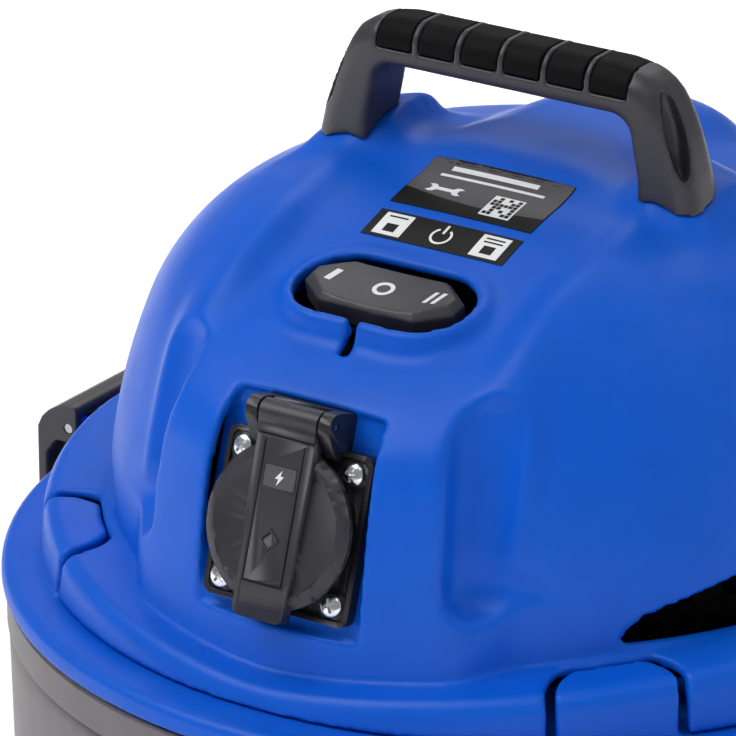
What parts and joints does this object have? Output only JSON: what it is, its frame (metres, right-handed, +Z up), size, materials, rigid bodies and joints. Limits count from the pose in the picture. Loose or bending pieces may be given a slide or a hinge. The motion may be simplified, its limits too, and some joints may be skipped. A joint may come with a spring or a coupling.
{
  "type": "wet and dry vacuum cleaner",
  "caption": "Castored tank vacuum with a domed lift-off motor head, carry handle, rocker switch, lidded tool socket, side latches and a front hose inlet.",
  "frame": {"origin": "on the floor, below the middle of the tank", "axes": "+Z up; the socket, switch and hose inlet face -Y; the handle and the latches lie along X"},
  "size_m": [0.3458, 0.3458, 0.4888],
  "materials": {
    "cover_plastic": "satin, finely moulded",
    "tank_plastic": "satin, fine texture",
    "dark_plastic": "satin",
    "black_plastic": "matte",
    "rubber": "matte",
    "wheel_tread": "matte",
    "steel": "bright",
    "screw_chrome": "polished",
    "laminated_steel": "dull",
    "aluminium": "cast",
    "copper": "bare copper",
    "filter_paper": "pleated",
    "float_plastic": "smooth",
    "label_film": "printed film"
  },
  "bodies": {
    "tank_body": {"tank": "tank_plastic", "inlet_port": "dark_plastic", "inlet_baffle": "dark_plastic", "castor_base": "dark_plastic"},
    "head": {"motor_cover": "cover_plastic", "lid_ring": "cover_plastic", "lid_seal": "rubber", "head_base": "dark_plastic", "exhaust_grille_right": "black_plastic", "exhaust_grille_left": "black_plastic", "cable_gland": "rubber", "handle": "dark_plastic", "handle_grip": "black_plastic", "label_service": "label_film", "label_switch": "label_film", "rocker_pin": "steel", "switch_body": "black_plastic", "socket_flange": "black_plastic", "socket_hinge_pin": "steel", "socket_lid_spring": "steel", "socket_screw_1": "screw_chrome", "socket_screw_2": "screw_chrome", "socket_screw_3": "screw_chrome", "socket_screw_4": "screw_chrome", "latch_pin_right": "steel", "latch_pin_left": "steel", "motor_gasket": "rubber", "fan_housing": "steel", "stator": "laminated_steel", "motor_bracket_lower": "aluminium", "motor_bracket_upper": "black_plastic", "bearing_lower": "steel", "bearing_upper": "steel", "carbon_brush_right": "black_plastic", "carbon_brush_left": "black_plastic", "filter_cage": "black_plastic", "cartridge_filter": "filter_paper", "filter_cap": "dark_plastic", "filter_knob": "dark_plastic"},
    "rocker": {"rocker_cap": "dark_plastic"},
    "socket_cover": {"socket_lid": "dark_plastic"},
    "latch_right": {"latch_right": "black_plastic"},
    "latch_left": {"latch_left": "black_plastic"},
    "armature": {"motor_shaft": "steel", "armature_core": "copper", "commutator": "copper", "fan_impeller": "aluminium"},
    "float": {"float_ball": "float_plastic"},
    "castor_1": {"castor_fork_1": "dark_plastic", "castor_axle_1": "steel"},
    "castor_wheel_1": {"castor_wheel_1": "wheel_tread"},
    "castor_2": {"castor_fork_2": "dark_plastic", "castor_axle_2": "steel"},
    "castor_wheel_2": {"castor_wheel_2": "wheel_tread"},
    "castor_3": {"castor_fork_3": "dark_plastic", "castor_axle_3": "steel"},
    "castor_wheel_3": {"castor_wheel_3": "wheel_tread"},
    "castor_4": {"castor_fork_4": "dark_plastic", "castor_axle_4": "steel"},
    "castor_wheel_4": {"castor_wheel_4": "wheel_tread"}
  },
  "joints": [
    {"name": "head_lift", "type": "slide", "parent": "tank_body", "child": "head", "axis": [0, 0, 1], "range_m": [0, 0.2]},
    {"name": "latch_right_open", "type": "hinge", "parent": "head", "child": "latch_right", "pos_m": [0.1535, 0, 0.3345], "axis": [0, -1, 0], "range_deg": [0, 55]},
    {"name": "latch_left_open", "type": "hinge", "parent": "head", "child": "latch_left", "pos_m": [-0.1535, 0, 0.3345], "axis": [0, 1, 0], "range_deg": [0, 55]},
    {"name": "rocker_tilt", "type": "hinge", "parent": "head", "child": "rocker", "pos_m": [0, -0.07203, 0.42121], "axis": [0, 0.9781, 0.2079], "range_deg": [-7, 7]},
    {"name": "socket_lid_open", "type": "hinge", "parent": "head", "child": "socket_cover", "pos_m": [0, -0.11939, 0.40714], "axis": [-1, 0, 0], "range_deg": [0, 100], "stiffness_Nm_per_rad": 0.02, "springref_deg": -22.92},
    {"name": "armature_spin", "type": "hinge", "parent": "head", "child": "armature", "pos_m": [0, 0, 0.378], "axis": [0, 0, 1], "continuous": true},
    {"name": "float_rise", "type": "slide", "parent": "head", "child": "float", "axis": [0, 0, 1], "range_m": [0, 0.021]},
    {"name": "castor_1_swivel", "type": "hinge", "parent": "tank_body", "child": "castor_1", "pos_m": [0.14637, 0.14637, 0.05], "axis": [0, 0, 1], "continuous": true},
    {"name": "castor_1_roll", "type": "hinge", "parent": "castor_1", "child": "castor_wheel_1", "pos_m": [0.15486, 0.15486, 0.02], "axis": [-0.7071, 0.7071, 0], "continuous": true},
    {"name": "castor_2_swivel", "type": "hinge", "parent": "tank_body", "child": "castor_2", "pos_m": [-0.14637, 0.14637, 0.05], "axis": [0, 0, 1], "continuous": true},
    {"name": "castor_2_roll", "type": "hinge", "parent": "castor_2", "child": "castor_wheel_2", "pos_m": [-0.15486, 0.15486, 0.02], "axis": [-0.7071, -0.7071, 0], "continuous": true},
    {"name": "castor_3_swivel", "type": "hinge", "parent": "tank_body", "child": "castor_3", "pos_m": [-0.14637, -0.14637, 0.05], "axis": [0, 0, 1], "continuous": true},
    {"name": "castor_3_roll", "type": "hinge", "parent": "castor_3", "child": "castor_wheel_3", "pos_m": [-0.15486, -0.15486, 0.02], "axis": [0.7071, -0.7071, 0], "continuous": true},
    {"name": "castor_4_swivel", "type": "hinge", "parent": "tank_body", "child": "castor_4", "pos_m": [0.14637, -0.14637, 0.05], "axis": [0, 0, 1], "continuous": true},
    {"name": "castor_4_roll", "type": "hinge", "parent": "castor_4", "child": "castor_wheel_4", "pos_m": [0.15486, -0.15486, 0.02], "axis": [0.7071, 0.7071, 0], "continuous": true}
  ]
}
